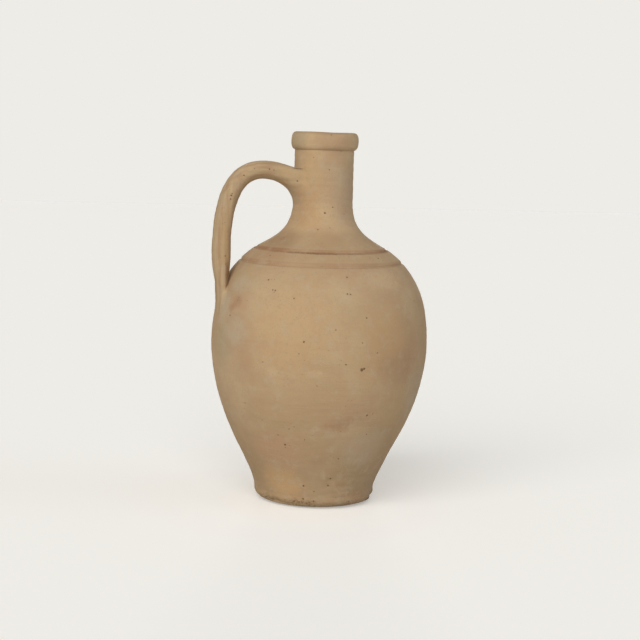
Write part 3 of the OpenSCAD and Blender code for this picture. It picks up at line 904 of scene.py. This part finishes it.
class Seam:
    """Clay smeared into the corner between the handle and the wall, flush with both"""

    ROWS, BACK = 40, 4
    SKIN, SINK = 0.12 * MM, 2.5 * MM
    FADE = 0.22
    HALVINGS = 30

    def __init__(self, grip, at_root, turn, reach, spread):
        self.grip, self.at_root, self.turn = grip, at_root, turn
        self.reach, self.spread = reach, spread

    def on_wall(self, p):
        """Angle round the jar, height, and distance off the wall"""
        angle = math.atan2(p.y, p.x) % (2 * math.pi)
        return Vector((angle, p.z, math.hypot(p.x, p.y) - self.grip.wall.r(p.z)))

    def in_space(self, q):
        r = self.grip.wall.r(q.y) + q.z
        return Vector((r * math.cos(q.x), r * math.sin(q.x), q.y))

    def meeting(self, angle):
        """Distance along the handle at which its skin reaches the wall"""
        end = 0 if self.at_root else self.grip.length
        buried, clear = end, self.grip.length / 2
        for _ in range(self.HALVINGS):
            middle = (buried + clear) / 2
            if self.on_wall(self.grip.surface(middle, angle)).z < 0:
                buried = middle
            else:
                clear = middle
        return clear

    @functools.cache
    def section(self, v):
        """Closed outline of the clay across the seam"""
        way = 1 if self.at_root else -1
        angle = self.turn * (v - 0.5) + (math.pi if self.at_root else 0)
        side, under = math.sin(angle), max(0, -way * math.cos(angle)) ** 2
        fade = 0.1 + 0.9 * smooth(min(v, 1 - v) / self.FADE)
        reach, spread = (fade * (a + (b - a) * under) for a, b in (self.reach, self.spread))
        d = self.meeting(angle)
        edge, corner = self.grip.surface(d + way * reach, angle), self.grip.surface(d, angle)
        core, heart = (Vector((-c.x, 0, c.y)) for c in
                       (self.grip.centre(d + way * reach), self.grip.centre(d)))
        sink = self.SINK * max(fade, 0.3)
        edge_in = (core - edge).normalized()
        bend = self.on_wall(corner)
        lay = Vector((bend.x - spread * side / self.grip.wall.r(bend.y),
                      bend.y + way * spread * math.cos(angle), -self.SKIN))
        start = self.on_wall(edge + self.SKIN * edge_in)
        front = self.ROWS - self.BACK
        loop = []
        for i in range(front + 1):
            t = i / front
            loop.append(self.in_space((1 - t) ** 2 * start + 2 * t * (1 - t) * bend + t * t * lay))
        laid = self.in_space(lay - Vector((0, 0, sink)))
        bent = self.in_space(bend - Vector((0, 0, sink))) + sink * (heart - corner).normalized()
        loop += [laid, bent, edge + sink * edge_in, loop[0]]
        return loop

    def place(self, u, v):
        return self.section(round(v, 6))[round(u * self.ROWS)]


def root_wad(grip):
    return Seam(grip, True, math.radians(220), (12 * MM, 27 * MM), (9 * MM, 23 * MM))


def end_pad(grip):
    return Seam(grip, False, math.radians(290), (9 * MM, 22 * MM), (9 * MM, 15 * MM))


# One operator for each group of pieces, and one for the stage

class JAR_OT_throw(bpy.types.Operator):
    """Spins each thrown section about the jar's axis and marks it with the potter's fingers"""

    bl_idname = "jar.throw_sections"
    bl_label = "Throw the sections"

    def execute(self, context):
        sizes = context.scene.jar_sizes
        wall = Wall(sizes)
        for node, outline in THROWN.items():
            piece = turned("thrown_" + node, outline(wall, sizes), sizes.sides)
            hand_marks(piece, wall)
            slot = SLOTS.get(node, "body_clay")
            belongs(piece, [node], clay_of(slot))
        return {"FINISHED"}


class JAR_OT_handle(bpy.types.Operator):
    """Sweeps the pulled handle from the neck to the belly"""

    bl_idname = "jar.pull_handle"
    bl_label = "Pull the handle"

    def execute(self, context):
        sizes = context.scene.jar_sizes
        wall = Wall(sizes)
        grip = Grip(wall, sizes)
        piece = wrapped("pulled_handle", GRIP_ROWS, GRIP_SIDES, grip.place)
        hand_marks(piece, wall, inner=False)
        belongs(piece, ["handle"], clay_of("handle_clay"))
        return {"FINISHED"}


class JAR_OT_lute(bpy.types.Operator):
    """Presses clay under the handle's root and round its lower end"""

    bl_idname = "jar.lute_handle"
    bl_label = "Lute the handle"

    def execute(self, context):
        sizes = context.scene.jar_sizes
        wall = Wall(sizes)
        grip = Grip(wall, sizes)
        for node, shape in (("handle_root_wad", root_wad), ("handle_end_pad", end_pad)):
            piece = wrapped("luted_" + node, Seam.ROWS, SEAM_COLUMNS, shape(grip).place)
            hand_marks(piece, wall, inner=False)
            belongs(piece, [node], clay_of("handle_clay"))
        return {"FINISHED"}


# The camera's fit to the photograph
VIEW_AZIMUTH, VIEW_ELEVATION, VIEW_ROLL = -15.0, 6.2, 1.76
VIEW_DISTANCE = 1.76
PHOTO_PX = 640
METRES_PER_PX = 1.0907 * MM
AIM_PX = (319.47, 316.49)
AIM = Vector((0, 0, 0.2))
SENSOR = 36.0


def axes_of_view():
    a, roll = math.radians(VIEW_AZIMUTH), math.radians(VIEW_ROLL)
    back = pointing(VIEW_AZIMUTH, VIEW_ELEVATION)
    level = Vector((math.cos(a), math.sin(a), 0))
    up = back.cross(level)
    right = level * math.cos(roll) + up * math.sin(roll)
    return right, back.cross(right), back


# Light: a broad soft sun from the front left, a faint cool sky on the right, a low lamp
# behind, which the camera sees only on the edges, and an even room. The paper is given as it is
# seen; the floor takes a share of it from the light, where the jar's shadow falls.
LAMPS = {
    "soft_sun": {"strength": 2.2, "azimuth": -32, "elevation": 30, "width": 60,
                 "colour": (1, 1, 1)},
    "soft_back": {"strength": 0.9, "azimuth": 165, "elevation": 7, "width": 14,
                  "colour": (1, 1, 1)},
    "soft_sky": {"strength": 0.3, "azimuth": 70, "elevation": 18, "width": 36,
                 "colour": (0.78, 0.95, 1.25)},
}
ROOM = 0.265
PAPER = (0.855, 0.838, 0.797)
FLOOR_SHARE = 0.92


def light_on_floor():
    """Red, green and blue light on open floor, as the share that white would throw back"""
    return [ROOM + sum(lamp["strength"] * lamp["colour"][i]
                       * math.sin(math.radians(lamp["elevation"])) / math.pi
                       for lamp in LAMPS.values()) for i in range(3)]


def seen_directly(tree):
    """1 for rays that show the background, straight or by reflection, and 0 for its light"""
    path = tree.nodes.new("ShaderNodeLightPath")
    total = path.outputs["Is Camera Ray"]
    for name in ("Is Glossy Ray", "Is Transmission Ray"):
        add = tree.nodes.new("ShaderNodeMath")
        add.operation = "ADD"
        add.use_clamp = True
        tree.links.new(total, add.inputs[0])
        tree.links.new(path.outputs[name], add.inputs[1])
        total = add.outputs[0]
    return total


def pointing(azimuth, elevation):
    a, e = math.radians(azimuth), math.radians(elevation)
    return Vector((math.sin(a) * math.cos(e), -math.cos(a) * math.cos(e), math.sin(e)))


class JAR_OT_stage(bpy.types.Operator):
    """Lays the pale floor, hangs the soft lights and sets the camera at the photograph's angle"""

    bl_idname = "jar.set_stage"
    bl_label = "Set the stage"

    def execute(self, context):
        deselect()
        bpy.ops.mesh.primitive_plane_add(size=16)
        floor = context.active_object
        floor.name = "floor"
        paper = bpy.data.materials.new("floor_paper")
        paper.use_nodes = True
        shader = paper.node_tree.nodes["Principled BSDF"]
        shader.inputs["Roughness"].default_value = 1.0
        shader.inputs["Specular IOR Level"].default_value = 0.0
        shader.inputs["Base Color"].default_value = (*(FLOOR_SHARE * c for c in PAPER), 1)
        glow = [c * (1 - FLOOR_SHARE * lit) for c, lit in zip(PAPER, light_on_floor())]
        shader.inputs["Emission Color"].default_value = (*glow, 1)
        paper.node_tree.links.new(seen_directly(paper.node_tree),
                                  shader.inputs["Emission Strength"])
        floor.data.materials.append(paper)
        self.light(context)
        self.aim_camera(context)
        return {"FINISHED"}

    def light(self, context):
        world = bpy.data.worlds.new("soft_room")
        world.use_nodes = True
        context.scene.world = world
        tree = world.node_tree
        room = tree.nodes["Background"]
        room.inputs["Color"].default_value = (1, 1, 1, 1)
        room.inputs["Strength"].default_value = ROOM
        seen = tree.nodes.new("ShaderNodeBackground")
        seen.inputs["Color"].default_value = (*PAPER, 1)
        mix = tree.nodes.new("ShaderNodeMixShader")
        tree.links.new(seen_directly(tree), mix.inputs[0])
        tree.links.new(room.outputs[0], mix.inputs[1])
        tree.links.new(seen.outputs[0], mix.inputs[2])
        tree.links.new(mix.outputs[0], tree.nodes["World Output"].inputs[0])
        for name, light in LAMPS.items():
            source = pointing(light["azimuth"], light["elevation"])
            bpy.ops.object.light_add(type="SUN", location=3 * source)
            lamp = context.active_object
            lamp.name = name
            lamp.data.energy = light["strength"]
            lamp.data.color = light["colour"]
            lamp.data.angle = math.radians(light["width"])
            lamp.rotation_euler = source.to_track_quat("Z", "Y").to_euler()

    def aim_camera(self, context):
        right, up, back = axes_of_view()
        shift_x = (AIM_PX[0] - PHOTO_PX / 2) * METRES_PER_PX
        shift_y = (PHOTO_PX / 2 - AIM_PX[1]) * METRES_PER_PX
        place = AIM + back * VIEW_DISTANCE - right * shift_x - up * shift_y
        bpy.ops.object.camera_add(location=place)
        camera = context.active_object
        camera.matrix_world = Matrix.Translation(place) @ Matrix(
            (right, up, back)).transposed().to_4x4()
        camera.data.sensor_width = SENSOR
        camera.data.lens = SENSOR * VIEW_DISTANCE / (PHOTO_PX * METRES_PER_PX)
        camera.data.clip_end = 30
        context.scene.camera = camera


class JAR_PT_panel(bpy.types.Panel):
    """Lists the steps that build the jar"""

    bl_idname = "JAR_PT_panel"
    bl_label = "Terracotta water jar"
    bl_space_type = "VIEW_3D"
    bl_region_type = "UI"
    bl_category = "Jar"

    def draw(self, context):
        layout = self.layout
        for step in STEPS:
            layout.operator(step.bl_idname)
        for group in (context.scene.jar_sizes, context.scene.jar_clay):
            box = layout.box()
            for key in group.bl_rna.properties.keys():
                if key not in {"name", "rna_type"}:
                    box.prop(group, key)


STEPS = (JAR_OT_stage, JAR_OT_throw, JAR_OT_handle, JAR_OT_lute)
CLASSES = (JarSizes, JarClay) + STEPS + (JAR_PT_panel,)


def register():
    for cls in CLASSES:
        bpy.utils.register_class(cls)
    bpy.types.Scene.jar_sizes = bpy.props.PointerProperty(type=JarSizes)
    bpy.types.Scene.jar_clay = bpy.props.PointerProperty(type=JarClay)


def unregister():
    del bpy.types.Scene.jar_clay
    del bpy.types.Scene.jar_sizes
    for cls in reversed(CLASSES):
        bpy.utils.unregister_class(cls)


def main():
    register()
    bpy.context.scene.view_settings.view_transform = "Standard"
    bpy.ops.jar.set_stage()
    bpy.ops.jar.throw_sections()
    bpy.ops.jar.pull_handle()
    bpy.ops.jar.lute_handle()


if __name__ == "__main__":
    main()
